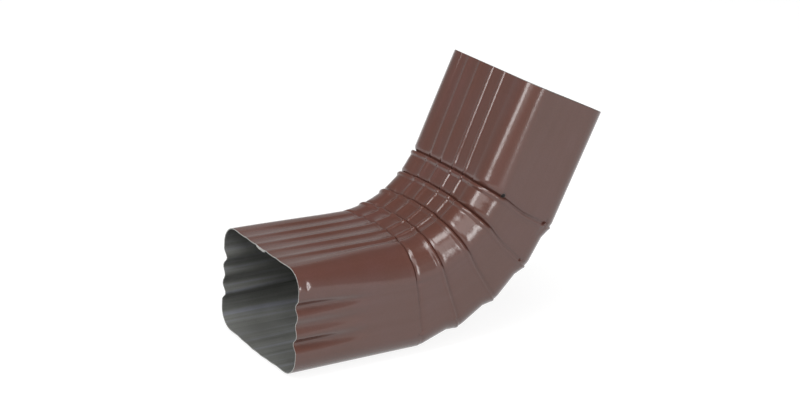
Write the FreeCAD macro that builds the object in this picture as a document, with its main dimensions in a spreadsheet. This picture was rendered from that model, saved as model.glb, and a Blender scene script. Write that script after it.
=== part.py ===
"""Downspout elbow: one corrugated sheet tube, pleated by five folds into a 67 degree bend.

Frame, in millimetres: the origin is the middle of the lower opening. +X runs along the lower leg into the
bend, +Y goes across the wide faces, and +Z points from the heel (the long side of the bend) to the throat
(the short side). Every section of the tube stands on one heel point and reaches one throat point of the
bend plane. The painted side and the bare side are each lofted through their own sections, and the sheet is
what lies between the two.
"""
import math
import os
from dataclasses import dataclass

import FreeCAD, Part
import Sketcher

NODE = "downspout_elbow"
FOLDS = 5
FACE_GROOVES = 5
SAMPLES_PER_GROOVE = 2
LINE_START, LINE_END = range(1, 3)

DIMENSIONS = [
    ("face_width", 82.5, "outside width across a wide face"),
    ("face_depth", 62.0, "outside depth from heel to throat"),
    ("corner_radius", 11.5, "outside radius of the four corners"),
    ("sheet_thickness", 0.5, "painted aluminium sheet"),
    ("lower_leg_heel", 84.4, "lower leg along the heel, from its opening to the first fold"),
    ("upper_leg_heel", 73.0, "upper leg along the heel, from the last fold to its opening"),
    ("fold_turn", 13.4, "degrees that each fold turns the tube"),
    ("fold_pitch", 27.8, "from one fold to the next along the heel"),
    ("heel_flare", 1.9, "how far a band swells to its crest at the heel"),
    ("heel_flare_length", 7.5, "length of that swell"),
    ("lip_stand", 0.6, "how far a fold's lip stands out at the throat"),
    ("side_stand", 0.4, "how far a fold's lip stands out at the sides"),
    ("lip_rise", 0.5, "rise of the sheet past a crest at the heel"),
    ("lap_depth", 6.0, "how far a band is tucked into the one below at the throat"),
    ("lap_gap", 0.6, "mouth of the open gap behind a lip"),
    ("lap_gap_depth", 3.0, "depth of that gap at the throat"),
    ("groove_margin", 2.75, "flat between a corner and the row of grooves on a wide face"),
    ("throat_groove", 0.55, "groove depth on the throat face"),
    ("heel_groove", 0.3, "groove depth on the heel face, stretched flatter"),
    ("swage_length", 50.0, "length over which the side grooves of the lower end run out"),
    ("swage_radius", 4.8, "radius of those grooves"),
    ("groove_pitch", 10.8, "from one of those grooves to the next"),
    ("swage_outer_groove", 3.2, "depth of the outer two at the lower opening"),
    ("swage_middle_groove", 1.9, "depth of the middle one at the lower opening"),
    ("heel_crown", 1.1, "how far the heel bows out at the lower opening"),
    ("seam_thickness", 1.0, "extra thickness of the seam inside the throat's middle groove"),
    ("upper_end_spread", 0.6, "how far each side of the upper opening is spread"),
    ("bore_overrun", 2.0, "how far the bore is cut past the two openings"),
]

ACROSS = FreeCAD.Vector(0, 1, 0)

doc = FreeCAD.newDocument("DownspoutElbow")
sheet = doc.addObject("Spreadsheet::Sheet", "Dimensions")
for row, (alias, value, note) in enumerate(DIMENSIONS, start=1):
    sheet.set(f"A{row}", note)
    sheet.set(f"B{row}", str(value))
    sheet.setAlias(f"B{row}", alias)
doc.recompute()


def size(alias):
    return float(sheet.get(alias))


def bind(sketch, constraint, name, formula):
    """Add a sketch constraint and tie its value to the sheet."""
    sketch.renameConstraint(sketch.addConstraint(constraint), name)
    sketch.setExpression(f"Constraints.{name}", formula)


def face_pitch():
    """From groove to groove on a wide face: the row fills the face between its two margins."""
    row = size("face_width") - 2 * (size("corner_radius") + size("groove_margin"))
    return row / FACE_GROOVES


def make_skeleton():
    """The bend plane: the heel as a chain of lines, then a heel-to-throat line at each end of each of them.

    Geometry 0 to FOLDS is the heel. The lines after it are the lower opening, the folds and the upper
    opening. A sketch numbers the two ends of a line LINE_START and LINE_END.
    """
    start, end = LINE_START, LINE_END
    sketch = doc.addObject("Sketcher::SketchObject", "bend_skeleton")
    sketch.Placement = FreeCAD.Placement(FreeCAD.Vector(), FreeCAD.Rotation(FreeCAD.Vector(1, 0, 0), 90))
    turn = size("fold_turn")
    lengths = [size("lower_leg_heel")] + [size("fold_pitch")] * (FOLDS - 1) + [size("upper_leg_heel")]
    corners = [FreeCAD.Vector(0, -size("face_depth") / 2, 0)]
    for index, length in enumerate(lengths):
        heading = math.radians(index * turn)
        corners.append(corners[-1] + FreeCAD.Vector(math.cos(heading), math.sin(heading), 0) * length)
    for low, high in zip(corners, corners[1:]):
        sketch.addGeometry(Part.LineSegment(low, high))
    for index, corner in enumerate(corners):
        tilt = math.radians(min(max(index - 0.5, 0), FOLDS) * turn)
        reach = FreeCAD.Vector(-math.sin(tilt), math.cos(tilt), 0) * size("face_depth")
        sketch.addGeometry(Part.LineSegment(corner, corner + reach))

    lower_end = FOLDS + 1
    upper_end = 2 * FOLDS + 2
    sketch.addConstraint(Sketcher.Constraint("Horizontal", 0))
    sketch.addConstraint(Sketcher.Constraint("PointOnObject", 0, start, -2))
    bind(sketch, Sketcher.Constraint("DistanceY", 0, start, -1, start, size("face_depth") / 2),
         "half_depth", "Dimensions.face_depth / 2")
    bind(sketch, Sketcher.Constraint("Distance", 0, lengths[0]), "lower_leg", "Dimensions.lower_leg_heel")
    bind(sketch, Sketcher.Constraint("Distance", FOLDS, lengths[-1]),
         "upper_leg", "Dimensions.upper_leg_heel")
    for index in range(1, FOLDS + 1):
        sketch.addConstraint(Sketcher.Constraint("Coincident", index - 1, end, index, start))
        bind(sketch, Sketcher.Constraint("Angle", index - 1, end, index, start, math.radians(180 + turn)),
             f"turn_{index}", "180 + Dimensions.fold_turn")
        if index < FOLDS:
            bind(sketch, Sketcher.Constraint("Distance", index, lengths[index]),
                 f"pitch_{index}", "Dimensions.fold_pitch")
        fold = lower_end + index
        sketch.addConstraint(Sketcher.Constraint("Coincident", index, start, fold, start))
        bind(sketch, Sketcher.Constraint("Angle", index, start, fold, start, math.radians(90 - turn / 2)),
             f"fold_{index}", "90 - Dimensions.fold_turn / 2")
        bind(sketch, Sketcher.Constraint("Distance", fold, size("face_depth")),
             f"fold_reach_{index}", "Dimensions.face_depth / cos(Dimensions.fold_turn / 2)")
    sketch.addConstraint(Sketcher.Constraint("Coincident", 0, start, lower_end, start))
    sketch.addConstraint(Sketcher.Constraint("Coincident", FOLDS, end, upper_end, start))
    for heel_line, end_line in ((0, lower_end), (FOLDS, upper_end)):
        sketch.addConstraint(Sketcher.Constraint("Perpendicular", heel_line, end_line))
        bind(sketch, Sketcher.Constraint("Distance", end_line, size("face_depth")),
             f"end_reach_{end_line}", "Dimensions.face_depth")
    doc.recompute()
    return sketch


@dataclass
class Section:
    """One section of the tube, from its heel point to its throat point, with its width at both."""
    heel: FreeCAD.Vector
    throat: FreeCAD.Vector
    heel_width: float
    throat_width: float
    crown: float = 0.0


def groove_row(depth, length, crown):
    """Points (place from the face's middle, height, slope) of a row of round grooves on a crowned face."""
    pitch = face_pitch()
    points = []
    for index in range(FACE_GROOVES * SAMPLES_PER_GROOVE + 1):
        phase = 2 * math.pi * index / SAMPLES_PER_GROOVE
        place = (index / SAMPLES_PER_GROOVE - FACE_GROOVES / 2) * pitch
        swell = 2 * math.pi * place / length
        height = crown * (1 + math.cos(swell)) / 2 - depth * (1 - math.cos(phase)) / 2
        slope = -crown * math.pi / length * math.sin(swell) - depth * math.pi / pitch * math.sin(phase)
        points.append((place, height, slope))
    return points


def wide_face(start, end, outward, row, inset, seam):
    """Edges of a wide face: a flat, the row of grooves as one smooth curve, and a flat."""
    run = end - start
    run.normalize()
    middle = (start + end) / 2
    points = []
    for place, height, slope in row:
        normal = outward - run * slope
        normal.normalize()
        points.append(middle + run * place + outward * height - normal * inset)
    steps = len(points) - 1
    points[steps // 2] -= outward * seam
    speed = steps * face_pitch() / SAMPLES_PER_GROOVE
    curve = Part.BSplineCurve()
    curve.interpolate(Points=points, Parameters=[number / steps for number in range(steps + 1)],
                      InitialTangent=(run + outward * row[0][2]) * speed,
                      FinalTangent=(run + outward * row[-1][2]) * speed, Scale=False)
    return [Part.LineSegment(start - outward * inset, points[0]).toShape(), curve.toShape(),
            Part.LineSegment(points[-1], end - outward * inset).toShape()]


def section_wire(section, inset, seam):
    """The closed outline of a section, moved inwards by the sheet's thickness where inset is given."""
    upright = section.throat - section.heel
    upright.normalize()
    facing = upright.cross(ACROSS)
    radius = size("corner_radius")
    half_heel = ACROSS * (section.heel_width / 2)
    half_throat = ACROSS * (section.throat_width / 2)
    corners = [section.heel - half_heel, section.heel + half_heel,
               section.throat + half_throat, section.throat - half_throat]
    faces = []
    for corner, next_corner in zip(corners, corners[1:] + corners[:1]):
        run = next_corner - corner
        run.normalize()
        faces.append((corner + run * radius, next_corner - run * radius, facing.cross(run)))

    length = (faces[0][1] - faces[0][0]).Length
    rows = {0: (groove_row(size("heel_groove"), length, section.crown), 0.0),
            2: (groove_row(size("throat_groove"), length, 0.0), seam)}
    outline = []
    for index, (start, end, outward) in enumerate(faces):
        if index in rows:
            outline += wide_face(start, end, outward, rows[index][0], inset, rows[index][1])
        else:
            outline.append(Part.LineSegment(start - outward * inset, end - outward * inset).toShape())
        next_start, next_end, next_outward = faces[(index + 1) % len(faces)]
        bisector = outward + next_outward
        bisector.normalize()
        bend = end - outward * radius + bisector * (radius - inset)
        arc = Part.Arc(end - outward * inset, bend, next_start - next_outward * inset)
        outline.append(arc.toShape())
    return Part.Wire(outline)


def heel_and_throat(skeleton):
    """Heel points, throat points and headings of the six runs, from the solved skeleton."""
    lines = [(skeleton.Placement.multVec(line.StartPoint), skeleton.Placement.multVec(line.EndPoint))
             for line in skeleton.Geometry]
    reaches = lines[FOLDS + 1:]
    headings = []
    for low, high in lines[:FOLDS + 1]:
        heading = high - low
        heading.normalize()
        headings.append(heading)
    return [low for low, high in reaches], [high for low, high in reaches], headings


def fold_sections(number, heel, throat, below, above):
    """Sections round one fold: painted side (swell, lip, its inner edge, root of the gap) and bare side."""
    width = size("face_width")
    reach = throat - heel
    reach.normalize()
    heel_in = FreeCAD.Vector(-below.z, 0, below.x)
    swell = size("heel_flare") if number > 1 else 0.0
    folded = 2 * size("sheet_thickness")
    lip = size("lip_stand")
    stand = 2 * size("side_stand")
    tucked = lip - folded - size("lap_gap")
    tucked_width = width + stand - 2 * (folded + size("lap_gap"))
    rise = above * size("lip_rise")
    swell_start = Section(heel - below * size("heel_flare_length") + heel_in * swell,
                          throat - below * size("lap_depth"), width, width)
    crest = Section(heel, throat + reach * lip, width + stand, width + stand)
    lip_inside = Section(heel + rise, throat + reach * (lip - folded), width + stand,
                         width + stand - 2 * folded)
    gap_root = Section(heel + rise * 2, throat + reach * tucked - above * size("lap_gap_depth"),
                       width + stand, tucked_width)
    lap_end = Section(heel + rise, throat + reach * tucked - above * size("lap_depth"),
                      width + stand, tucked_width)
    return [swell_start, crest, lip_inside, gap_root], [swell_start, lap_end]


def make_sections(skeleton):
    """All sections of the painted side and of the bare side, from the lower opening to the upper one."""
    heels, throats, headings = heel_and_throat(skeleton)
    width = size("face_width")
    spread = width + 2 * size("upper_end_spread")
    before = headings[0] * -size("bore_overrun")
    beyond = headings[-1] * size("bore_overrun")
    crown = size("heel_crown")
    painted = [Section(heels[0], throats[0], width, width, crown)]
    bare = [Section(heels[0] + before, throats[0] + before, width, width, crown)] + painted
    for number in range(1, FOLDS + 1):
        below, above = headings[number - 1:number + 1]
        outer, inner = fold_sections(number, heels[number], throats[number], below, above)
        painted = painted + outer
        bare = bare + inner
    upper_opening = Section(heels[-1], throats[-1], spread, spread)
    past_opening = Section(heels[-1] + beyond, throats[-1] + beyond, spread, spread)
    return painted + [upper_opening], bare + [upper_opening, past_opening]


def make_loft(name, sections, inset, seam):
    """A ruled loft through the sections, each kept in the document as its own outline."""
    outlines = []
    for number, section in enumerate(sections, start=1):
        outline = doc.addObject("Part::Feature", f"{name}_section_{number}")
        outline.Shape = section_wire(section, inset, seam)
        outlines.append(outline)
    loft = doc.addObject("Part::Loft", name)
    loft.Sections = outlines
    loft.Solid = True
    loft.Ruled = True
    return loft


def make_swage(name, clearance):
    """The side grooves of the lower end: round tools that lean outwards until they leave the side."""
    tools = []
    rows = {-1: "swage_outer_groove", 0: "swage_middle_groove", 1: "swage_outer_groove"}
    along_x = FreeCAD.Rotation(ACROSS, 90)
    for side in (-1, 1):
        for row, depth in rows.items():
            tool = doc.addObject("Part::Cylinder", f"{name}_groove")
            lean = math.degrees(math.atan(size(depth) / size("swage_length")))
            outwards = FreeCAD.Rotation(FreeCAD.Vector(0, 0, 1), side * lean)
            tool.Placement = FreeCAD.Placement(FreeCAD.Vector(), outwards * along_x)
            start_depth = f"Dimensions.{depth} * (1 + Dimensions.bore_overrun / Dimensions.swage_length)"
            reach = f"Dimensions.face_width / 2 + Dimensions.swage_radius - {start_depth}"
            tool.setExpression("Radius", f"Dimensions.swage_radius + {clearance}")
            tool.setExpression("Height", "Dimensions.swage_length + 2 * Dimensions.bore_overrun")
            tool.setExpression("Placement.Base.x", "-Dimensions.bore_overrun")
            tool.setExpression("Placement.Base.y", f"{side} * ({reach})")
            tool.setExpression("Placement.Base.z", f"{row} * Dimensions.groove_pitch")
            tools.append(tool)
    grooves = doc.addObject("Part::MultiFuse", f"{name}_grooves")
    grooves.Shapes = tools
    return grooves


def make_cut(name, base, tool):
    cut = doc.addObject("Part::Cut", name)
    cut.Base = base
    cut.Tool = tool
    return cut


def make_elbow():
    painted, bare = make_sections(make_skeleton())
    outside = make_loft("painted_side", painted, 0.0, 0.0)
    bore = make_loft("bare_side", bare, size("sheet_thickness"), size("seam_thickness"))
    swaged_outside = make_cut("swaged_outside", outside, make_swage("outside", "0"))
    swaged_bore = make_cut("swaged_bore", bore, make_swage("bore", "Dimensions.sheet_thickness"))
    elbow = make_cut(NODE, swaged_outside, swaged_bore)
    elbow.Label = NODE
    doc.recompute()
    return elbow


def check(part):
    for item in doc.Objects:
        if "Invalid" in item.State or "Error" in item.State:
            raise RuntimeError(f"{item.Label} failed: {item.State}")
    if part.Shape.isNull() or not part.Shape.isValid() or len(part.Shape.Solids) != 1:
        raise RuntimeError(f"{part.Label} is not one valid solid")


elbow = make_elbow()
check(elbow)
os.makedirs("parts", exist_ok=True)
elbow.Shape.exportStep(f"parts/{elbow.Label}.step")
box = elbow.Shape.optimalBoundingBox()
print(f"{elbow.Label}: {box.XLength:.1f} x {box.YLength:.1f} x {box.ZLength:.1f} mm, "
      f"{elbow.Shape.Volume:.0f} mm3, {len(elbow.Shape.Faces)} faces")
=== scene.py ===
"""Looks of the downspout elbow: one folded sheet, with brown paint outside, a grey wash coat inside and
bright cut edges.

Lengths are in millimetres until a mesh is made. The origin is the middle of the lower opening, +X runs
into the bend and +Z points from the heel to the throat. A station is one section of the tube in the bend
plane: heel x, heel z, throat x, throat z, width at the heel, width at the throat, the tube's heading, the
number of the fold that it belongs to, how far it follows the bow of the folds, and how far its throat
corners are opened.
"""
import math

import bpy
import numpy as np
from mathutils import Matrix, Vector


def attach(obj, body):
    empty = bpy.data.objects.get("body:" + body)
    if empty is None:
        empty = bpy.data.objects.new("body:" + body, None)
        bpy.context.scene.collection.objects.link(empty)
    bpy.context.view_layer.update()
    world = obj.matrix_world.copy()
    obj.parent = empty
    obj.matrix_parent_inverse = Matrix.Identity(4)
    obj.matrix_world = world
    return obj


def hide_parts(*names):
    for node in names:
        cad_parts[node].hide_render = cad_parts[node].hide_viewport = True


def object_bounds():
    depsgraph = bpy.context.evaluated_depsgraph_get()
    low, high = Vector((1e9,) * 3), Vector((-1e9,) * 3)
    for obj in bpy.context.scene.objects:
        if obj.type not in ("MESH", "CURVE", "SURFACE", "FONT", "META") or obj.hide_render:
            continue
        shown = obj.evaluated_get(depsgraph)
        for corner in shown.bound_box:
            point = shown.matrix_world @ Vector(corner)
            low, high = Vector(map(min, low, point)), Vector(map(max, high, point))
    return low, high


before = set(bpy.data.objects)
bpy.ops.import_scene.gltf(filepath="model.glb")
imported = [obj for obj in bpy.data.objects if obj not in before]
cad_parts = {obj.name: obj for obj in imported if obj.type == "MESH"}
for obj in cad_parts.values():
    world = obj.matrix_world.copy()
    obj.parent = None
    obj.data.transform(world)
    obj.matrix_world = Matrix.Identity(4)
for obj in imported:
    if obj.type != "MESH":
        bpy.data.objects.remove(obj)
cad_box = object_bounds()

MM = 0.001

# The section, and how many points each of its faces and corners has round the tube
FACE_WIDTH = 82.5
FACE_DEPTH = 62.0
CORNER_RADIUS = 11.5
HALF_WIDTH = FACE_WIDTH / 2
HALF_FLAT = HALF_WIDTH - CORNER_RADIUS
SHEET = 0.5
HEEL, FAR, THROAT, NEAR, CORNER = range(5)
HEEL_COLUMNS = 24
FAR_COLUMNS = 28
NEAR_COLUMNS = 36
LOWER_CORNER_COLUMNS = 10
FAR_CORNER_COLUMNS = 14
NEAR_CORNER_COLUMNS = 26

# The bend, its two legs and the tucked ends of its laps
FOLDS = 5
MIDDLE_FOLD = 3
FOLD_TURN = math.radians(13.4)
FOLD_PITCH = 27.8
LOWER_LEG = 84.4
UPPER_LEG = 73.0
UPPER_SPREAD = 0.6
UPPER_CUT = 1.4
LAP_DEPTH = 6.0
LAP_TUCK = 1.9
LAP_HEEL_TUCK = 0.4
LAP_HEEL_END = 0.3
LAP_MOUTH = 0.8

# Rows of points along the tube, closer together over the swaged share of the lower leg. A row right beside
# each rim keeps the shading of the cut edge off the paint.
RIM_STEP = 0.002
SWAGED_SHARE = 0.26
SWAGED_ROWS = 26
LEG_ROWS = 24
BAND_ROWS = 4
LAP_ROWS = 2
UPPER_ROWS = 28
BARE_UPPER_ROWS = 14

# The painted side over one fold, from the end of a band over its rolled lip and the gap behind it to the
# next band: where along the heel and how high, where along the throat and how high, how far the sides stand
# out at the throat and at the heel. Lip, shoulder and the heel's end of the gap are scaled for each fold.
BAND_END = ((-7.5, -1.9, -6.0, 0.10, 0.05, 0.00), (-3.2, -0.8, -3.0, 0.08, 0.05, 0.08))
LIP = (
    (-1.6, -0.4, -2.6, 0.28, 0.16, 0.16),
    (-0.8, -0.1, -1.9, 0.80, 0.45, 0.32),
    (-0.3, 0.0, -1.15, 1.20, 0.70, 0.42),
    (0.1, 0.0, 0.0, 0.78, 0.46, 0.32),
    (0.2, 0.0, 0.12, 0.62, 0.36, 0.22),
)
GAP = (
    (0.3, 0.0, -0.4, -0.25, -0.15, -0.05),
    (0.4, 0.0, -2.8, -0.90, -0.65, -0.15),
    (1.0, 0.0, -2.8, -1.55, -1.15, -0.26),
    (1.8, 0.0, 0.4, -1.45, -1.10, -0.22),
)
SHOULDER = ((1.6, 0.0, 1.4, -0.40, -0.30, -0.06), (5.6, 0.0, 4.4, 0.10, 0.05, 0.00))
LIP_SCALE = (0.12, 0.9, 1.0, 1.0, 1.0)
SHOULDER_SCALE = (0.28, 0.45, 0.45, 0.5, 0.55)
GAP_HEEL_SCALE = (1.0, 1.0, 1.3, 2.0, 2.6)
PROFILE_ROUNDS = 2
CORNER_CUT = 0.25

# How far a fold's line runs off its plane round the half section, along the tube: place (0 is the middle of
# the throat, 1 and 2 the ends of the upper corner, 3 the lower end of the side, 4 the middle of the heel),
# bow of the middle fold, and what each further fold adds
FOLD_BOW = ((0.0, 2.0, 0.2), (0.5, 1.3, 0.6), (1.0, -0.3, 1.15), (1.5, -1.1, 1.4), (2.0, -1.1, 1.2),
            (2.5, -1.8, 0.3), (3.0, -1.3, 0.0), (3.5, 0.0, 0.0), (4.0, 0.0, 0.0))

# The throat's corners in the bend: their radius, how far each run has it, lower leg first, how far the far
# corner has it, and where across the throat and down the sides the faces start to give way
BEND_RADIUS = 18.0
RUN_OPENED = (1.0, 1.0, 1.0, 0.8, 0.5, 0.3)
FAR_OPENED = 0.25
GIVES_ACROSS = 18.0
GIVES_DOWN = FACE_DEPTH - 2 * CORNER_RADIUS

# The throat's grooves, with a rib between each two: soft and wide on the lower leg, sharp from the bend on
GROOVES = 5
GROOVE_PITCH = 10.8
ROW_HALF = GROOVES / 2 * GROOVE_PITCH
RIB_HEIGHT = 0.75
RIB_STEPS = (0.0, 0.4, 0.8, 1.2, 1.6, 2.1, 3.2)
ROW_END_STEPS = (0.0, 1.4, 2.8)
RIB_SOFT = 4.0
RIB_NEAR = 2.0
RIB_FAR = 3.3
RIB_SHARP_FROM = 0.75 * LOWER_LEG
RIB_SHARP_LENGTH = 0.2 * LOWER_LEG
RIB_AT_RIM = 0.4
RIB_GROWTH = 0.75
RIB_GROWTH_LENGTH = 0.5 * LOWER_LEG
RIB_SHARP_DROP = 0.15
RIB_SINK = 0.16
RIB_SINK_START = 0.125
RIB_SHIFT = 1.0
RIB_SWAY = 2.2
RIB_SWAY_EDGE = 9.0

# The heel's shallow wave, and the seam inside the throat
HEEL_GROOVE = 0.3
SEAM_THICKNESS = 1.0
SEAM_WIDTH = 9.8
SEAM_EDGE = 0.8
SEAM_OFFSET = 0.8

# The swaged lower end: depths of the sides' grooves, lowest first, and the bow of the heel
SWAGE_LENGTH = 50.0
SWAGE_FADE = 1.4
SWAGE_WIDTH = 10.0
SWAGE_NEAR = (3.0, 1.7, 2.6)
SWAGE_FAR = (3.5, 2.1, 3.6)
HEEL_CROWN = 1.08
CROWN_LENGTH = 60.0

# The slight waves that bending leaves in the throat and its corners: waves for each millimetre of X, Y and Z,
# and where they start
WAVES = (((0.050, 0.020, 0.030), 0.10), ((-0.030, 0.055, 0.060), 0.40), ((0.020, -0.075, 0.045), 0.75))
WAVE_HEIGHT = 0.05
WAVES_FROM = 0.7
WAVES_END = 2.0
WAVES_EDGE = 0.8

# Marks of handling: middle, which way the sheet is pushed in, reach in X, Y and Z, depth
MARKS = (
    ((4.9, -40.7, 22.9), (0.0, 0.95, -0.31), (1.9, 2.6, 3.6), 0.55),
    ((0.2, -41.0, 22.6), (0.0, 0.97, -0.2), (0.9, 1.2, 0.8), 0.5),
    ((132.2, -40.2, 56.6), (0.2, 0.95, -0.25), (1.5, 2.2, 1.2), 0.6),
    ((80.0, -41.2, 12.0), (0.0, 1.0, 0.0), (6.0, 3.0, 1.6), 0.3),
)
MARK_FALL = 1.5

# Painted shade: a dark spot on the paint where the last lap gapes, in place of the shadow inside the gap
PAINTED_LAP_SHADE_MIDDLE = (131.8, -40.5, 56.0)
PAINTED_LAP_SHADE_CORE = 0.95
PAINTED_LAP_SHADE_REACH = 1.9

# Finishes, in the order of their numbers on the mesh
FINISHES = ("Paint", "Wash Coat", "Cut Edge")
PAINT, WASH_COAT, CUT_EDGE = range(3)

# Colours, as display values from 0 to 255. Tones come with their place on the pattern that drives them.
PAINT_TONES = ((0.3, (90, 57, 48)), (0.5, (93, 60, 52)), (0.7, (95, 63, 58)))
PAINT_SPECK = (60, 36, 30)
PAINT_LINE = (84, 50, 40)
PAINTED_LAP_SHADE = (14, 8, 7)
# Tones of the wash coat's streaks: grey, with the lightest tinted blue as a painted sheen in place of a
# bluish reflection.
WASH_TONES_AND_SHEEN = ((0.3, (92, 93, 90)), (0.52, (118, 119, 116)), (0.72, (140, 143, 155)))
WASH_CLOUD = (82, 82, 78)
WASH_DUST = (150, 150, 146)
EDGE_TONES = ((0.35, (140, 140, 136)), (0.65, (190, 190, 187)))

# Patterns: stretch in their coordinates, scale for each metre, and detail
EVEN = (1.0, 1.0, 1.0)
TONE_DRIFT = (EVEN, 28.0, 3.0)
FINE_SPECKS = (EVEN, 1500.0, 2.0)
DRAWING_LINES = ((190.0, 12.0, 1.0), 1.0, 2.0)
ORANGE_PEEL = (EVEN, 620.0, 1.0)
WASH_STREAKS = ((260.0, 7.0, 1.0), 1.0, 5.0)
WASH_CLOUDS = (EVEN, 45.0, 4.0)
FINE_DUST = (EVEN, 1800.0, 2.0)
SHEAR_MARKS = (EVEN, 1400.0, 3.0)
PATTERN_LOW = 0.3
PATTERN_HIGH = 0.7

# How much of a tint a pattern lays on at its lowest and highest, how rough it leaves the coat, and its bump's
# strength and depth in metres
SPECK_AMOUNT = (0.0, 0.18)
LINE_AMOUNT = (0.0, 0.35)
CLOUD_AMOUNT = (0.0, 0.45)
DUST_AMOUNT = (0.0, 0.2)
PAINT_ROUGHNESS = (0.18, 0.24)
WASH_ROUGHNESS = (0.26, 0.42)
EDGE_ROUGHNESS = (0.3, 0.5)
PEEL_BUMP = (0.12, 0.0004)
STREAK_BUMP = (0.1, 0.0003)
SHEAR_BUMP = (0.3, 0.0002)
PAINT_SPECULAR = 0.7
EDGE_METALLIC = 0.7

# The floor, with its lengths in metres, and the room, with its tones from low down to overhead
FLOOR_REACH = 6.0
FLOOR_DROP = 0.0015
FLOOR_TONE = 0.22
FLOOR_ROUGHNESS = 0.9
FLOOR_LIFT = 0.87
WORLD_STRENGTH = 0.43
WORLD_TONES = ((0.05, (1.0, 1.0, 1.0, 1.0)), (0.75, (0.22, 0.22, 0.22, 1.0)))

# Softboxes: azimuth and elevation in degrees, distance, width and height in metres, and brightness
SOFTBOXES = {
    "left_softbox": (-172.0, 38.0, 1.6, 0.48, 1.3, 7.2),
    "right_softbox": (-83.0, 12.0, 1.6, 0.36, 0.7, 8.6),
    "front_softbox": (-120.0, 42.0, 1.8, 2.4, 1.25, 2.05),
    "top_softbox": (-100.0, 78.0, 1.8, 0.8, 0.6, 6.6),
    "back_softbox": (55.0, 20.0, 1.8, 2.4, 1.0, 0.2),
}
SOFTBOX_TARGET = (0.1, 0.0, 0.03)

# The camera, in metres
CAMERA_LENS = 81.41
CAMERA_SENSOR = 36.0
CAMERA_PLACE = (-0.4676, -0.7889, 0.4005)
CAMERA_FORWARD = (0.541, 0.765, -0.349)
CAMERA_UP = (0.140, 0.327, 0.935)


def smooth(value):
    """A smooth step from 0 to 1."""
    value = np.clip(value, 0.0, 1.0)
    return value * value * (3.0 - 2.0 * value)


def hump(phase):
    """1 at whole phases, falling smoothly to 0 halfway between them."""
    return (1 + np.cos(2 * np.pi * phase)) / 2


def fold_points():
    """Heel points, throat points and headings of the six runs in the bend plane."""
    turns = [number * FOLD_TURN for number in range(FOLDS + 1)]
    headings = [np.array([math.cos(turn), math.sin(turn)]) for turn in turns]
    lengths = [LOWER_LEG] + [FOLD_PITCH] * (FOLDS - 1) + [UPPER_LEG]
    heels = [np.array([0.0, -FACE_DEPTH / 2])]
    for heading, length in zip(headings, lengths):
        heels.append(heels[-1] + heading * length)
    throats = []
    for number, heel in enumerate(heels):
        tilt = min(max(number - 0.5, 0.0), FOLDS) * FOLD_TURN
        folded = 0 < number <= FOLDS
        reach = FACE_DEPTH / math.cos(FOLD_TURN / 2) if folded else FACE_DEPTH
        throats.append(heel + reach * np.array([-math.sin(tilt), math.cos(tilt)]))
    return heels, throats, headings


def station(heel, throat, heel_width, throat_width, heading, fold, bend, opened):
    return np.array([*heel, *throat, heel_width, throat_width, heading, fold, bend, opened])


def run(start, end, steps):
    """Stations from start (left out) to end."""
    return [start + (end - start) * k / steps for k in range(1, steps + 1)]


def rounded_path(corners, rounds):
    """Stations on a smooth path through a chain of corners, by cutting each corner off."""
    for _ in range(rounds):
        cut = [corners[0]]
        for before, after in zip(corners, corners[1:]):
            step = (after - before) * CORNER_CUT
            cut += [before + step, after - step]
        corners = cut + [corners[-1]]
    return corners


def fold_profile(number):
    """The rows of one fold's profile, with its own lip, gap and shoulder."""
    lip, gap, shoulder = (scale[number - 1] for scale in (LIP_SCALE, GAP_HEEL_SCALE, SHOULDER_SCALE))
    rows = list(BAND_END)
    for heel, sunk, along, *heights in LIP:
        rows.append((heel, sunk, along, *(height * lip for height in heights)))
    for *row, heel_side in GAP:
        rows.append((*row, heel_side * gap))
    mouth_heel, _, mouth = GAP[-1][:3]
    for heel, sunk, along, *heights in SHOULDER:
        rows.append((mouth_heel + heel * shoulder, sunk, mouth + along * shoulder, *heights))
    return rows


def by_heel(number, heel, below, above, along, height):
    """A point by a fold's heel: along the band on its side of the fold, and up. The first fold's is level."""
    inward = np.array([-below[1], below[0]])
    sunk = -height if number > 1 else 0.0
    return heel + (below if along < 0 else above) * along + inward * sunk


def fold_stations(number, heel, throat, below, above):
    """The painted side over one fold, as stations."""
    reach = (throat - heel) / np.linalg.norm(throat - heel)
    place = ((number - 0.5) * FOLD_TURN, number, 1.0)
    rows = fold_profile(number)
    before, after = RUN_OPENED[number - 1:number + 1]
    opened = [before] * (len(rows) - len(SHOULDER)) + [(before + after) / 2, after]
    stations = []
    for row, corner in zip(rows, opened):
        heel_along, heel_height, along, height, throat_side, heel_side = row
        heel_point = by_heel(number, heel, below, above, heel_along, heel_height)
        throat_point = throat + (below if along < 0 else above) * along + reach * height
        widths = (FACE_WIDTH + 2 * heel_side, FACE_WIDTH + 2 * throat_side)
        stations.append(station(heel_point, throat_point, *widths, *place, corner))
    return stations


def lap_stations(number, heel, throat, below, above):
    """The bare side under one fold: the band's end, the tucked end of the next band, the mouth of its gap."""
    reach = (throat - heel) / np.linalg.norm(throat - heel)
    place = ((number - 0.5) * FOLD_TURN, number, 1.0, RUN_OPENED[number - 1])
    heel_along, heel_height, along = BAND_END[0][:3]
    heel_point = by_heel(number, heel, below, above, heel_along, heel_height)
    swell = station(heel_point, throat + below * along, FACE_WIDTH, FACE_WIDTH, *place)
    widths = (FACE_WIDTH - 2 * LAP_HEEL_TUCK, FACE_WIDTH - 2 * LAP_TUCK)
    tucked = throat - reach * LAP_TUCK
    lap = station(heel + above * LAP_HEEL_END, tucked - above * LAP_DEPTH, *widths, *place)
    mouth = station(heel + above * LAP_MOUTH, tucked + above * LAP_MOUTH, *widths, *place)
    return swell, lap, mouth


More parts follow.
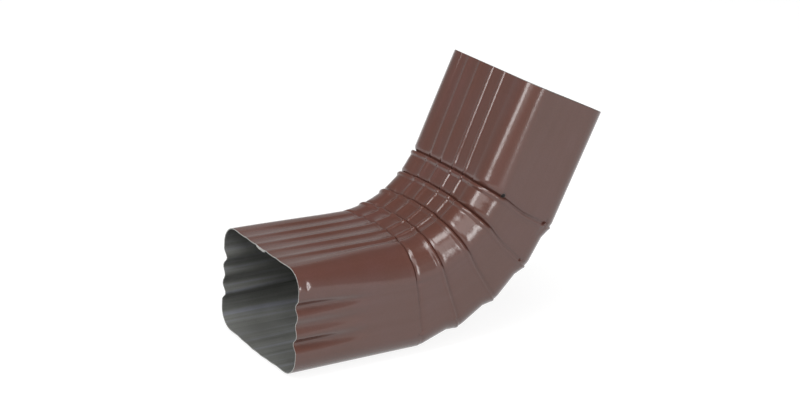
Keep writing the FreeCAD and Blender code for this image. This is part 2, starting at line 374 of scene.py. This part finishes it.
def sheet_stations():
    """Stations of the painted side and of the bare side, from the lower opening to the upper one."""
    heels, throats, headings = fold_points()
    top_width = FACE_WIDTH + 2 * UPPER_SPREAD
    opening = station(heels[0], throats[0], FACE_WIDTH, FACE_WIDTH, 0.0, 1, 0.0, 0.0)
    first_fold = station(heels[1], throats[1], FACE_WIDTH, FACE_WIDTH, 0.0, 1, 1.0, 1.0)
    top = station(heels[-1], throats[-1], top_width, top_width, FOLDS * FOLD_TURN, FOLDS, 0.0, 0.0)
    at_rim = opening + (first_fold - opening) * RIM_STEP
    painted, bare = [opening, at_rim], [opening, at_rim]
    for number in range(1, FOLDS + 1):
        fold = (number, heels[number], throats[number], headings[number - 1], headings[number])
        outside = rounded_path(fold_stations(*fold), PROFILE_ROUNDS)
        swell, lap, mouth = lap_stations(*fold)
        if number == 1:
            swage_end = opening + (outside[0] - opening) * SWAGED_SHARE
            leg = run(at_rim, swage_end, SWAGED_ROWS) + run(swage_end, outside[0], LEG_ROWS)[:-1]
            painted += leg
            bare += leg
        else:
            painted += run(painted[-1], outside[0], BAND_ROWS)[:-1]
        painted += outside
        bare += run(bare[-1], swell, LAP_ROWS) + run(swell, lap, LAP_ROWS)
        bare += [mouth] + run(mouth, outside[-1], LAP_ROWS)
    near_top = top + (painted[-1] - top) * RIM_STEP
    painted += run(painted[-1], near_top, UPPER_ROWS) + [top]
    bare += run(bare[-1], near_top, BARE_UPPER_ROWS) + [top]
    return np.array(painted), np.array(bare)


def rib_middles():
    """Places of the ribs between the throat's grooves, near side first."""
    return [(k - GROOVES / 2) * GROOVE_PITCH for k in range(1, GROOVES)]


def throat_places():
    """Places across the throat, close together on the ribs, far side first."""
    places = [HALF_FLAT]
    for step in ROW_END_STEPS:
        places += [ROW_HALF - step, step - ROW_HALF]
    for middle in rib_middles():
        for step in RIB_STEPS:
            places += [middle + step, middle - step]
    return np.unique(np.round(places, 6))[::-1]


def section_grid():
    """Points round the nominal section: across, depth from the heel, outward normal, face they are on."""
    low, high = CORNER_RADIUS, FACE_DEPTH - CORNER_RADIUS
    points = []

    def straight(face, start, end, normal, steps):
        for k in range(steps):
            place = np.array(start) + (np.array(end) - np.array(start)) * (k / steps)
            points.append((*place, *normal, face))

    def corner(across, depth, first, steps):
        for k in range(steps):
            angle = math.radians(first + 90.0 * k / steps)
            normal = (math.cos(angle), math.sin(angle))
            place = (across + CORNER_RADIUS * normal[0], depth + CORNER_RADIUS * normal[1])
            points.append((*place, *normal, CORNER))

    straight(HEEL, (-HALF_FLAT, 0.0), (HALF_FLAT, 0.0), (0.0, -1.0), HEEL_COLUMNS)
    corner(HALF_FLAT, low, -90.0, LOWER_CORNER_COLUMNS)
    straight(FAR, (HALF_WIDTH, low), (HALF_WIDTH, high), (1.0, 0.0), FAR_COLUMNS)
    corner(HALF_FLAT, high, 0.0, FAR_CORNER_COLUMNS)
    points.extend((place, FACE_DEPTH, 0.0, 1.0, THROAT) for place in throat_places())
    corner(-HALF_FLAT, high, 90.0, NEAR_CORNER_COLUMNS)
    straight(NEAR, (-HALF_WIDTH, high), (-HALF_WIDTH, low), (-1.0, 0.0), NEAR_COLUMNS)
    corner(-HALF_FLAT, low, 180.0, LOWER_CORNER_COLUMNS)
    return np.array(points)


def half_place(section):
    """Where each point lies round its half of the section: 0 at the throat's middle, 4 at the heel's."""
    across, depth, _, normal_depth, face = section.T
    wide = np.clip(np.abs(across) / HALF_FLAT, 0.0, 1.0)
    turned = np.degrees(np.arccos(np.clip(normal_depth, -1.0, 1.0))) / 90.0
    down = (FACE_DEPTH - CORNER_RADIUS - depth) / (FACE_DEPTH - 2 * CORNER_RADIUS)
    place = np.where(turned <= 1.0, 1.0 + turned, 3.0 + 0.5 * (turned - 1.0))
    place = np.where(face == THROAT, wide, place)
    place = np.where((face == NEAR) | (face == FAR), 2.0 + down, place)
    return np.where(face == HEEL, 4.0 - 0.5 * wide, place)


def rounder_corners(section, amount):
    """Across and depth of the section's points, with the throat's corners opened as they are in the bend."""
    across, depth, normal_across, normal_depth, face = section.T
    side = np.sign(across)
    grown = (BEND_RADIUS - CORNER_RADIUS) * amount * np.where(side > 0, FAR_OPENED, 1.0)
    upper = (face == CORNER) & (depth > FACE_DEPTH / 2)
    moved_across = across + np.where(upper, grown * (normal_across - side), 0.0)
    moved_depth = depth + np.where(upper, grown * (normal_depth - 1.0), 0.0)
    past = np.clip(np.abs(across) - GIVES_ACROSS, 0.0, None) / (HALF_FLAT - GIVES_ACROSS)
    moved_across = moved_across - np.where(face == THROAT, grown * past * side, 0.0)
    past = np.clip(depth - GIVES_DOWN, 0.0, None) / (FACE_DEPTH - CORNER_RADIUS - GIVES_DOWN)
    moved_depth = moved_depth - np.where((face == NEAR) | (face == FAR), grown * past, 0.0)
    return moved_across, moved_depth


def swage_row(height, depths):
    """Depth of the three grooves of a swaged side."""
    inward = np.zeros_like(height)
    for k, depth in enumerate(depths):
        middle = FACE_DEPTH / 2 + (k - 1) * GROOVE_PITCH
        inward += depth * hump(np.clip((height - middle) / SWAGE_WIDTH, -0.5, 0.5))
    return inward


def pressed_rise(section, x, seam):
    """How far the presses move the sheet out: the heel's wave and crown, the swaged sides and the seam."""
    across, depth, _, _, face = section.T
    wave = np.where(np.abs(across) < ROW_HALF, HEEL_GROOVE * hump(across / GROOVE_PITCH), 0.0)
    crown = HEEL_CROWN * hump(across / (2 * HALF_FLAT)) * smooth(1 - x / CROWN_LENGTH)
    swaged = np.where(face == NEAR, swage_row(depth, SWAGE_NEAR), 0.0)
    swaged = np.where(face == FAR, swage_row(depth, SWAGE_FAR), swaged)
    fade = 1.0 - np.clip(x / SWAGE_LENGTH, 0.0, 1.0) ** SWAGE_FADE
    seam_edge = (SEAM_WIDTH / 2 - np.abs(across - SEAM_OFFSET)) / SEAM_EDGE
    seamed = np.where(face == THROAT, seam * smooth(seam_edge), 0.0)
    return np.where(face == HEEL, crown - wave, 0.0) - swaged * fade - seamed


def sheet_waves(x, y, z):
    """Height of the sheet's slight waves."""
    height = np.zeros_like(x)
    for (in_x, in_y, in_z), start in WAVES:
        height = height + WAVE_HEIGHT * np.sin(2 * np.pi * (in_x * x + in_y * y + in_z * z + start))
    return height


def rib_growth(x, sharp, upper):
    """How high the ribs stand: they grow from the lower rim, and sink a little past the last fold."""
    growth = RIB_AT_RIM + RIB_GROWTH * smooth(x / RIB_GROWTH_LENGTH) - RIB_SHARP_DROP * sharp
    return growth - RIB_SINK * smooth(upper / RIB_SINK_START) * (1.0 - upper)


def handled(points):
    """The points with the marks of handling pushed in."""
    for middle, inward, reach, depth in MARKS:
        away = (points - np.array(middle)) / np.array(reach)
        pushed = depth * np.exp(-MARK_FALL * (away ** 2).sum(axis=-1))
        points = points + np.array(inward) * pushed[..., None]
    return points


def sheet_surface(stations, section, inset, seam):
    """One side of the sheet, a row of points for each station, and their ribs' half widths and push."""
    across, _, normal_across, normal_depth, face = section.T
    heel_x, heel_z, throat_x, throat_z, *others = stations.T[..., None]
    heel_width, throat_width, heading, fold, bend, opened = others
    placed_across, placed_depth = rounder_corners(section, smooth(opened))
    share = placed_depth / FACE_DEPTH
    reach = np.hypot(throat_x - heel_x, throat_z - heel_z)
    upright_x = (throat_x - heel_x) / reach
    upright_z = (throat_z - heel_z) / reach
    x = heel_x * (1 - share) + throat_x * share
    z = heel_z * (1 - share) + throat_z * share
    width = heel_width * (1 - share) + throat_width * share
    upper = np.where(fold >= FOLDS, 1.0 - bend, 0.0)
    sharp = smooth((x - RIB_SHARP_FROM) / RIB_SHARP_LENGTH)
    place = half_place(section)

    wavy = smooth((bend - WAVES_FROM) / (1.0 - WAVES_FROM)) * smooth((WAVES_END - place) / WAVES_EDGE)
    rise = pressed_rise(section, x, seam) + sheet_waves(x, across, z) * wavy - inset
    sway = (RIB_SHIFT + RIB_SWAY * upper) * sharp * smooth((HALF_FLAT - np.abs(across)) / RIB_SWAY_EDGE)
    places, bows, gains = np.array(FOLD_BOW).T
    bow = np.interp(place, places, bows) + (fold - MIDDLE_FOLD) * np.interp(place, places, gains)
    cut = UPPER_CUT * smooth(upper) * smooth(0.5 + across / FACE_WIDTH) * (1.0 - share)
    slide = bend * bow - cut

    y = (placed_across + np.where(face == THROAT, sway, 0.0)) * width / FACE_WIDTH + normal_across * rise
    x_out = x + upright_x * normal_depth * rise + np.cos(heading) * slide
    z_out = z + upright_z * normal_depth * rise + np.sin(heading) * slide
    half_width = RIB_SOFT + (np.where(across < 0, RIB_NEAR, RIB_FAR) - RIB_SOFT) * sharp
    outward = np.concatenate([upright_x, np.zeros_like(upright_x), upright_z], axis=1)
    push = outward[:, None, :] * np.where(face == THROAT, rib_growth(x, sharp, upper), 0.0)[..., None]
    return handled(np.stack([x_out, y, z_out], axis=-1)), half_width, push


def grid_faces(rows, columns, first, flip):
    """Quads of a tube of points, closed round each row."""
    row = np.arange(rows - 1)[:, None] * columns
    here = np.arange(columns)[None, :]
    beside = (here + 1) % columns
    quads = np.stack([row + here, row + beside, row + columns + beside, row + columns + here], axis=-1)
    quads = quads.reshape(-1, 4) + first
    return quads[:, ::-1] if flip else quads


def rim_faces(outer_row, inner_row, columns, flip):
    """Quads across the cut edge, between the first points of an outer and an inner row."""
    here = np.arange(columns)
    beside = (here + 1) % columns
    first, second = (beside, here) if flip else (here, beside)
    return np.stack([outer_row + first, outer_row + second, inner_row + second, inner_row + first], axis=-1)


def girth_pairs(row):
    """Distance round the tube, in metres, at both ends of each step of a row of points."""
    steps = np.linalg.norm(np.roll(row, -1, axis=0) - row, axis=1) * MM
    after = np.cumsum(steps)
    return np.stack([after - steps, after], axis=-1)


def unrolled_grid(grid, flip):
    """Texture places of a tube's quads, in metres: round the tube and along it."""
    round_it = girth_pairs(grid[0])
    steps = np.linalg.norm(np.diff(grid.mean(axis=1), axis=0), axis=1)
    along_it = np.concatenate([[0.0], np.cumsum(steps) * MM])
    places = np.zeros((len(grid) - 1, len(round_it), 4, 2))
    places[..., 0] = round_it[None, :, [0, 1, 1, 0]]
    places[:, :, :2, 1] = along_it[:-1, None, None]
    places[:, :, 2:, 1] = along_it[1:, None, None]
    return (places[:, :, ::-1] if flip else places).reshape(-1, 2)


def keep_field(mesh, name, kind, domain, values):
    """Keeps a value for each point or face on the mesh, for the ribs' nodes to read."""
    layer = mesh.attributes.new(name, kind, domain)
    slot = "vector" if kind == "FLOAT_VECTOR" else "value"
    layer.data.foreach_set(slot, values.astype(np.float32).ravel())


def make_sheet():
    """The folded sheet before its ribs are pressed: painted side, bare side and the two cut edges."""
    painted, bare = sheet_stations()
    section = section_grid()
    columns = len(section)
    outer, outer_half, outer_push = sheet_surface(painted, section, 0.0, 0.0)
    inner, inner_half, inner_push = sheet_surface(bare, section, SHEET, SEAM_THICKNESS)
    points = np.concatenate([outer.reshape(-1, 3), inner.reshape(-1, 3)]) * MM
    inner_start = len(outer) * columns
    outside = grid_faces(len(outer), columns, 0, False)
    inside = grid_faces(len(inner), columns, inner_start, True)
    lower_rim = rim_faces(0, inner_start, columns, True)
    upper_rim = rim_faces(inner_start - columns, inner_start + (len(inner) - 1) * columns, columns, False)
    faces = np.concatenate([outside, inside, lower_rim, upper_rim])
    finish_counts = [len(outside), len(inside), len(lower_rim) + len(upper_rim)]
    finish = np.repeat([PAINT, WASH_COAT, CUT_EDGE], finish_counts)

    mesh = bpy.data.meshes.new("elbow_sheet")
    mesh.from_pydata(points.tolist(), [], faces.tolist())
    rim = np.zeros((columns, 4, 2))
    rim[:, :, 0] = girth_pairs(outer[0])[:, [1, 0, 0, 1]]
    rim = rim.reshape(-1, 2)
    unrolled = np.concatenate([unrolled_grid(outer, False), unrolled_grid(inner, True), rim, rim])
    layer = mesh.uv_layers.new(name="unrolled_sheet")
    layer.data.foreach_set("uv", unrolled.astype(np.float32).ravel())
    mesh.polygons.foreach_set("use_smooth", finish != CUT_EDGE)
    across = np.tile(section[:, 0], len(outer) + len(inner))
    half_width = np.concatenate([outer_half.ravel(), inner_half.ravel()])
    push = np.concatenate([outer_push.reshape(-1, 3), inner_push.reshape(-1, 3)])
    keep_field(mesh, "rib_place", "FLOAT", "POINT", across * MM)
    keep_field(mesh, "rib_half_width", "FLOAT", "POINT", half_width * MM)
    keep_field(mesh, "rib_push", "FLOAT_VECTOR", "POINT", push)
    keep_field(mesh, "finish", "FLOAT", "FACE", finish)
    mesh.update()
    sheet = bpy.data.objects.new("elbow_sheet", mesh)
    bpy.context.scene.collection.objects.link(sheet)
    return sheet


def rib_nodes():
    """Tree that presses the throat's grooves, leaves a rib at each odd half pitch and sets the finishes."""
    tree = bpy.data.node_groups.new("throat_ribs", "GeometryNodeTree")
    nodes, links = tree.nodes, tree.links
    tree.interface.new_socket("Geometry", in_out="INPUT", socket_type="NodeSocketGeometry")
    for size in ("Rib Pitch", "Row Half Width", "Groove Depth"):
        tree.interface.new_socket(size, in_out="INPUT", socket_type="NodeSocketFloat")
    for finish in FINISHES:
        tree.interface.new_socket(finish, in_out="INPUT", socket_type="NodeSocketMaterial")
    tree.interface.new_socket("Geometry", in_out="OUTPUT", socket_type="NodeSocketGeometry")
    given, result = nodes.new("NodeGroupInput").outputs, nodes.new("NodeGroupOutput").inputs

    def field(name, kind):
        node = nodes.new("GeometryNodeInputNamedAttribute")
        node.data_type = kind
        node.inputs["Name"].default_value = name
        return next(output for output in node.outputs if output.enabled)

    def maths(operation, first, *others):
        node = nodes.new("ShaderNodeMath")
        node.operation = operation
        links.new(first, node.inputs[0])
        for other, socket in zip(others, node.inputs[1:]):
            if isinstance(other, float):
                socket.default_value = other
            else:
                links.new(other, socket)
        return node.outputs["Value"]

    across = field("rib_place", "FLOAT")
    in_pitch = maths("FRACT", maths("DIVIDE", across, given["Rib Pitch"]))
    from_rib = maths("MULTIPLY", maths("ABSOLUTE", maths("SUBTRACT", in_pitch, 0.5)), given["Rib Pitch"])
    flank = nodes.new("ShaderNodeMapRange")
    flank.interpolation_type = "SMOOTHSTEP"
    links.new(from_rib, flank.inputs["Value"])
    links.new(field("rib_half_width", "FLOAT"), flank.inputs["From Max"])
    in_row = maths("LESS_THAN", maths("ABSOLUTE", across), given["Row Half Width"])
    pressed = maths("MULTIPLY", maths("MULTIPLY", flank.outputs["Result"], in_row), given["Groove Depth"])
    push = nodes.new("ShaderNodeVectorMath")
    push.operation = "SCALE"
    links.new(field("rib_push", "FLOAT_VECTOR"), push.inputs[0])
    links.new(maths("MULTIPLY", pressed, -1.0), push.inputs["Scale"])
    press = nodes.new("GeometryNodeSetPosition")
    links.new(given["Geometry"], press.inputs["Geometry"])
    links.new(push.outputs["Vector"], press.inputs["Offset"])
    realize = nodes.new("GeometryNodeRealizeInstances")
    links.new(press.outputs["Geometry"], realize.inputs["Geometry"])
    shape = realize.outputs["Geometry"]
    for number, finish in enumerate(FINISHES):
        coat = nodes.new("GeometryNodeSetMaterial")
        links.new(shape, coat.inputs["Geometry"])
        links.new(maths("COMPARE", field("finish", "FLOAT"), float(number), 0.5), coat.inputs["Selection"])
        links.new(given[finish], coat.inputs["Material"])
        shape = coat.outputs["Geometry"]
    links.new(shape, result["Geometry"])
    return tree


def press_ribs(sheet, finishes):
    """Runs the ribs' tree on the sheet and keeps what it makes as a plain mesh."""
    inputs = {"Rib Pitch": GROOVE_PITCH * MM, "Row Half Width": ROW_HALF * MM,
              "Groove Depth": RIB_HEIGHT * MM, **finishes}
    press = sheet.modifiers.new("throat_ribs", "NODES")
    press.node_group = rib_nodes()
    for socket in press.node_group.interface.items_tree:
        if socket.in_out == "INPUT" and socket.name in inputs:
            press[socket.identifier] = inputs[socket.name]
    graph = bpy.context.evaluated_depsgraph_get()
    unpressed = sheet.data
    pressed = bpy.data.meshes.new_from_object(sheet.evaluated_get(graph), preserve_all_data_layers=True,
                                              depsgraph=graph)
    sheet.modifiers.remove(press)
    sheet.data = pressed
    bpy.data.meshes.remove(unpressed)
    pressed.name = "elbow_sheet"
    for name in ("rib_place", "rib_half_width", "rib_push", "finish"):
        pressed.attributes.remove(pressed.attributes[name])


def new_material(name):
    material = bpy.data.materials.new(name)
    material.use_nodes = True
    tree = material.node_tree
    return material, tree, tree.nodes["Principled BSDF"].inputs


def srgb(colour):
    """A colour written as display values, as linear light."""
    linear = []
    for value in colour:
        value /= 255.0
        linear.append(value / 12.92 if value <= 0.04045 else ((value + 0.055) / 1.055) ** 2.4)
    return (*linear, 1.0)


def tones(stops):
    """Stops of a colour ramp from display values."""
    return [(position, srgb(colour)) for position, colour in stops]


def noise_on(tree, vector, stretch, scale, detail):
    """A noise pattern on the given coordinates, stretched by a mapping."""
    mapping = tree.nodes.new("ShaderNodeMapping")
    mapping.inputs["Scale"].default_value = stretch
    tree.links.new(vector, mapping.inputs["Vector"])
    noise = tree.nodes.new("ShaderNodeTexNoise")
    noise.inputs["Scale"].default_value = scale
    noise.inputs["Detail"].default_value = detail
    tree.links.new(mapping.outputs["Vector"], noise.inputs["Vector"])
    return noise.outputs["Fac"]


def map_range(tree, value, start, end, low, high):
    """A value that goes from low to high as the given one goes from start to end."""
    node = tree.nodes.new("ShaderNodeMapRange")
    for name, number in (("From Min", start), ("From Max", end), ("To Min", low), ("To Max", high)):
        node.inputs[name].default_value = number
    tree.links.new(value, node.inputs["Value"])
    return node.outputs["Result"]


def spread(tree, pattern, amount):
    """A value between the two of an amount, over the middle of a pattern's range."""
    return map_range(tree, pattern, PATTERN_LOW, PATTERN_HIGH, *amount)


def larger(tree, first, second):
    node = tree.nodes.new("ShaderNodeMath")
    node.operation = "MAXIMUM"
    tree.links.new(first, node.inputs[0])
    tree.links.new(second, node.inputs[1])
    return node.outputs["Value"]


def spot_on(tree, vector, middle, core, reach):
    """1 over the core of a spot, falling to 0 at its reach."""
    away = tree.nodes.new("ShaderNodeVectorMath")
    away.operation = "DISTANCE"
    tree.links.new(vector, away.inputs[0])
    away.inputs[1].default_value = [length * MM for length in middle]
    return map_range(tree, away.outputs["Value"], core * MM, reach * MM, 1.0, 0.0)


def colour_ramp(tree, factor, stops):
    ramp = tree.nodes.new("ShaderNodeValToRGB")
    elements = ramp.color_ramp.elements
    while len(elements) < len(stops):
        elements.new(1.0)
    for element, (position, colour) in zip(elements, stops):
        element.position = position
        element.color = colour
    tree.links.new(factor, ramp.inputs["Fac"])
    return ramp.outputs["Color"]


def tint(tree, colour, other, factor):
    """The colour with another one mixed in by a factor."""
    mix = tree.nodes.new("ShaderNodeMix")
    mix.data_type = "RGBA"
    first, second = (socket for socket in mix.inputs if socket.type == "RGBA")
    tree.links.new(factor, mix.inputs["Factor"])
    tree.links.new(colour, first)
    second.default_value = srgb(other)
    return next(socket for socket in mix.outputs if socket.type == "RGBA")


def bump(tree, height, strength, depth):
    node = tree.nodes.new("ShaderNodeBump")
    node.inputs["Strength"].default_value = strength
    node.inputs["Distance"].default_value = depth
    tree.links.new(height, node.inputs["Height"])
    return node.outputs["Normal"]


def make_paint():
    """Baked brown paint: slow drifts of tone, fine specks, faint drawing lines along the sheet, orange peel,
    and painted shade: a dark, rough spot where the last lap gapes, in place of the shadow in the gap."""
    material, tree, shader = new_material("brown_paint")
    places = tree.nodes.new("ShaderNodeTexCoord").outputs
    lines = noise_on(tree, places["UV"], *DRAWING_LINES)
    specks = noise_on(tree, places["Object"], *FINE_SPECKS)
    spot = spot_on(tree, places["Object"], PAINTED_LAP_SHADE_MIDDLE, PAINTED_LAP_SHADE_CORE, PAINTED_LAP_SHADE_REACH)
    colour = colour_ramp(tree, noise_on(tree, places["Object"], *TONE_DRIFT), tones(PAINT_TONES))
    colour = tint(tree, colour, PAINT_SPECK, spread(tree, specks, SPECK_AMOUNT))
    colour = tint(tree, colour, PAINT_LINE, spread(tree, lines, LINE_AMOUNT))
    # Painted shade: the colour goes nearly black over the spot where the last lap gapes, in place of the
    # gap's shadow.
    colour = tint(tree, colour, PAINTED_LAP_SHADE, spot)
    peel = bump(tree, noise_on(tree, places["Object"], *ORANGE_PEEL), *PEEL_BUMP)
    tree.links.new(colour, shader["Base Color"])
    # The painted shade spot is also made fully rough, so that it shows no gloss.
    tree.links.new(larger(tree, spread(tree, lines, PAINT_ROUGHNESS), spot), shader["Roughness"])
    tree.links.new(peel, shader["Normal"])
    shader["Specular IOR Level"].default_value = PAINT_SPECULAR
    return material


def make_wash_coat():
    """Thin grey coat on the bare side: streaks along the sheet, the lightest of them tinted blue as a painted
    sheen, cloudy patches and fine dust.
    """
    material, tree, shader = new_material("grey_wash_coat")
    places = tree.nodes.new("ShaderNodeTexCoord").outputs
    streaks = noise_on(tree, places["UV"], *WASH_STREAKS)
    clouds = noise_on(tree, places["Object"], *WASH_CLOUDS)
    dust = noise_on(tree, places["Object"], *FINE_DUST)
    # Streaks along the sheet, with a painted bluish sheen at their lightest.
    colour = colour_ramp(tree, streaks, tones(WASH_TONES_AND_SHEEN))
    colour = tint(tree, colour, WASH_CLOUD, spread(tree, clouds, CLOUD_AMOUNT))
    colour = tint(tree, colour, WASH_DUST, spread(tree, dust, DUST_AMOUNT))
    tree.links.new(colour, shader["Base Color"])
    tree.links.new(spread(tree, streaks, WASH_ROUGHNESS), shader["Roughness"])
    tree.links.new(bump(tree, streaks, *STREAK_BUMP), shader["Normal"])
    return material


def make_cut_edge():
    """Sheared aluminium: bright, with fine marks across the edge."""
    material, tree, shader = new_material("bare_cut_edge")
    places = tree.nodes.new("ShaderNodeTexCoord").outputs
    marks = noise_on(tree, places["Object"], *SHEAR_MARKS)
    tree.links.new(colour_ramp(tree, marks, tones(EDGE_TONES)), shader["Base Color"])
    tree.links.new(spread(tree, marks, EDGE_ROUGHNESS), shader["Roughness"])
    tree.links.new(bump(tree, marks, *SHEAR_BUMP), shader["Normal"])
    shader["Metallic"].default_value = EDGE_METALLIC
    return material


def make_white_floor():
    """The floor's coat: lifted to white where the eye or a gloss meets it, with the elbow's shadow kept."""
    material, tree, shader = new_material("white_floor")
    shader["Base Color"].default_value = (FLOOR_TONE, FLOOR_TONE, FLOOR_TONE, 1.0)
    shader["Roughness"].default_value = FLOOR_ROUGHNESS
    shader["Specular IOR Level"].default_value = 0.0
    shader["Emission Color"].default_value = (1.0, 1.0, 1.0, 1.0)
    rays = tree.nodes.new("ShaderNodeLightPath").outputs
    seen = rays["Is Camera Ray"]
    for kind in ("Is Glossy Ray", "Is Transmission Ray"):
        seen = larger(tree, seen, rays[kind])
    tree.links.new(map_range(tree, seen, 0.0, 1.0, 0.0, FLOOR_LIFT), shader["Emission Strength"])
    return material


def make_stage():
    """A wide floor, just under the elbow."""
    level = cad_box[0][2] - FLOOR_DROP
    corners = [(-FLOOR_REACH, -FLOOR_REACH, level), (FLOOR_REACH, -FLOOR_REACH, level),
               (FLOOR_REACH, FLOOR_REACH, level), (-FLOOR_REACH, FLOOR_REACH, level)]
    floor_mesh = bpy.data.meshes.new("floor")
    floor_mesh.from_pydata(corners, [], [(0, 1, 2, 3)])
    floor_mesh.materials.append(make_white_floor())
    floor = bpy.data.objects.new("floor", floor_mesh)
    bpy.context.scene.collection.objects.link(floor)


def make_softbox(name, azimuth, elevation, distance, width, height, brightness):
    """A softbox that looks at the elbow's middle, as bright as it shows in a reflection."""
    light = bpy.data.lights.new(name, "AREA")
    light.shape = "RECTANGLE"
    light.size = width
    light.size_y = height
    light.energy = brightness * math.pi * width * height
    azimuth, elevation = math.radians(azimuth), math.radians(elevation)
    level = math.cos(elevation)
    direction = Vector((level * math.cos(azimuth), level * math.sin(azimuth), math.sin(elevation)))
    softbox = bpy.data.objects.new(name, light)
    softbox.location = Vector(SOFTBOX_TARGET) + direction * distance
    softbox.rotation_euler = (-direction).to_track_quat("-Z", "Y").to_euler()
    softbox.visible_camera = False
    bpy.context.scene.collection.objects.link(softbox)


def make_world():
    """A room that is bright low down and darker overhead."""
    world = bpy.data.worlds.new("studio")
    world.use_nodes = True
    tree = world.node_tree
    split = tree.nodes.new("ShaderNodeSeparateXYZ")
    tree.links.new(tree.nodes.new("ShaderNodeTexCoord").outputs["Generated"], split.inputs["Vector"])
    background = tree.nodes["Background"].inputs
    tree.links.new(colour_ramp(tree, split.outputs["Z"], WORLD_TONES), background["Color"])
    background["Strength"].default_value = WORLD_STRENGTH
    bpy.context.scene.world = world


def make_camera():
    camera_data = bpy.data.cameras.new("camera")
    camera_data.lens = CAMERA_LENS
    camera_data.sensor_width = CAMERA_SENSOR
    forward = Vector(CAMERA_FORWARD).normalized()
    right = forward.cross(Vector(CAMERA_UP)).normalized()
    up = right.cross(forward)
    place = Matrix((right, up, -forward)).transposed().to_4x4()
    place.translation = Vector(CAMERA_PLACE)
    camera = bpy.data.objects.new("camera", camera_data)
    camera.matrix_world = place
    bpy.context.scene.collection.objects.link(camera)
    bpy.context.scene.camera = camera


bpy.context.scene.view_settings.view_transform = "Standard"
sheet = make_sheet()
press_ribs(sheet, dict(zip(FINISHES, (make_paint(), make_wash_coat(), make_cut_edge()))))
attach(sheet, "root")
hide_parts("downspout_elbow")
make_stage()
make_world()
for softbox_name, softbox_sizes in SOFTBOXES.items():
    make_softbox(softbox_name, *softbox_sizes)
make_camera()
